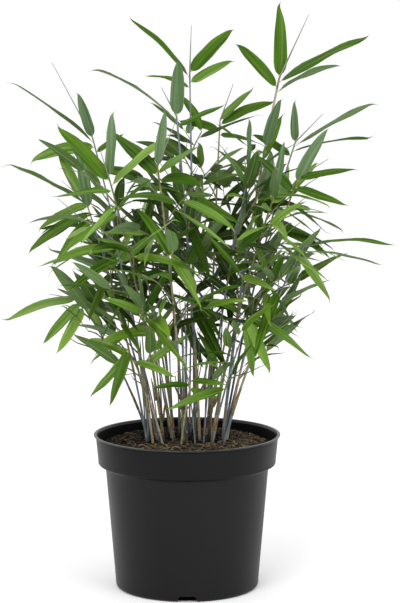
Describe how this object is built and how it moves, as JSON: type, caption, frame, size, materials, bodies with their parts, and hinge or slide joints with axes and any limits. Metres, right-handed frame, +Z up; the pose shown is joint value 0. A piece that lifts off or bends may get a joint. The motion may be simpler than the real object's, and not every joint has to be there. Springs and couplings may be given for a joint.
{
  "type": "potted bamboo",
  "caption": "Clump of slim bamboo canes with sprays of narrow leaves, growing in a round black nursery pot filled with compost.",
  "frame": {"origin": "middle of the pot's flat underside, which stands on the ground", "axes": "+Z up along the plant; the pictured side faces -Y, and +X is to its right"},
  "size_m": [0.3932, 0.3288, 0.594],
  "materials": {
    "pot": "black moulded plastic with a soft sheen",
    "compost": "dark moist peat compost with bark and root fibres",
    "cane": "young cane with a waxy bloom, ringed nodes and papery sheaths",
    "foliage": "satin green leaf, paler and waxy below, with a pale midrib"
  },
  "bodies": {
    "root": {"pot": "pot", "soil": "compost", "cane_01": "cane", "cane_02": "cane", "cane_03": "cane", "cane_04": "cane", "cane_05": "cane", "cane_06": "cane", "cane_07": "cane", "cane_08": "cane", "cane_09": "cane", "cane_10": "cane", "cane_11": "cane", "cane_12": "cane", "cane_13": "cane", "cane_14": "cane", "cane_15": "cane", "cane_16": "cane", "cane_17": "cane", "cane_18": "cane", "cane_19": "cane", "cane_20": "cane", "cane_21": "cane", "cane_22": "cane", "cane_23": "cane", "cane_24": "cane", "cane_25": "cane", "cane_26": "cane", "shoot_01": "cane", "shoot_02": "cane", "shoot_03": "cane", "shoot_04": "cane", "shoot_05": "cane", "shoot_06": "cane", "spray_01": "foliage", "spray_02": "foliage", "spray_03": "foliage", "spray_04": "foliage", "spray_05": "foliage", "spray_06": "foliage", "spray_07": "foliage", "spray_08": "foliage", "spray_09": "foliage", "spray_10": "foliage", "spray_11": "foliage", "spray_12": "foliage", "spray_13": "foliage", "spray_14": "foliage", "spray_15": "foliage", "spray_16": "foliage", "spray_17": "foliage", "spray_18": "foliage", "spray_19": "foliage", "spray_20": "foliage", "spray_21": "foliage", "spray_22": "foliage", "spray_23": "foliage", "spray_24": "foliage", "spray_25": "foliage", "spray_26": "foliage"}
  },
  "joints": []
}
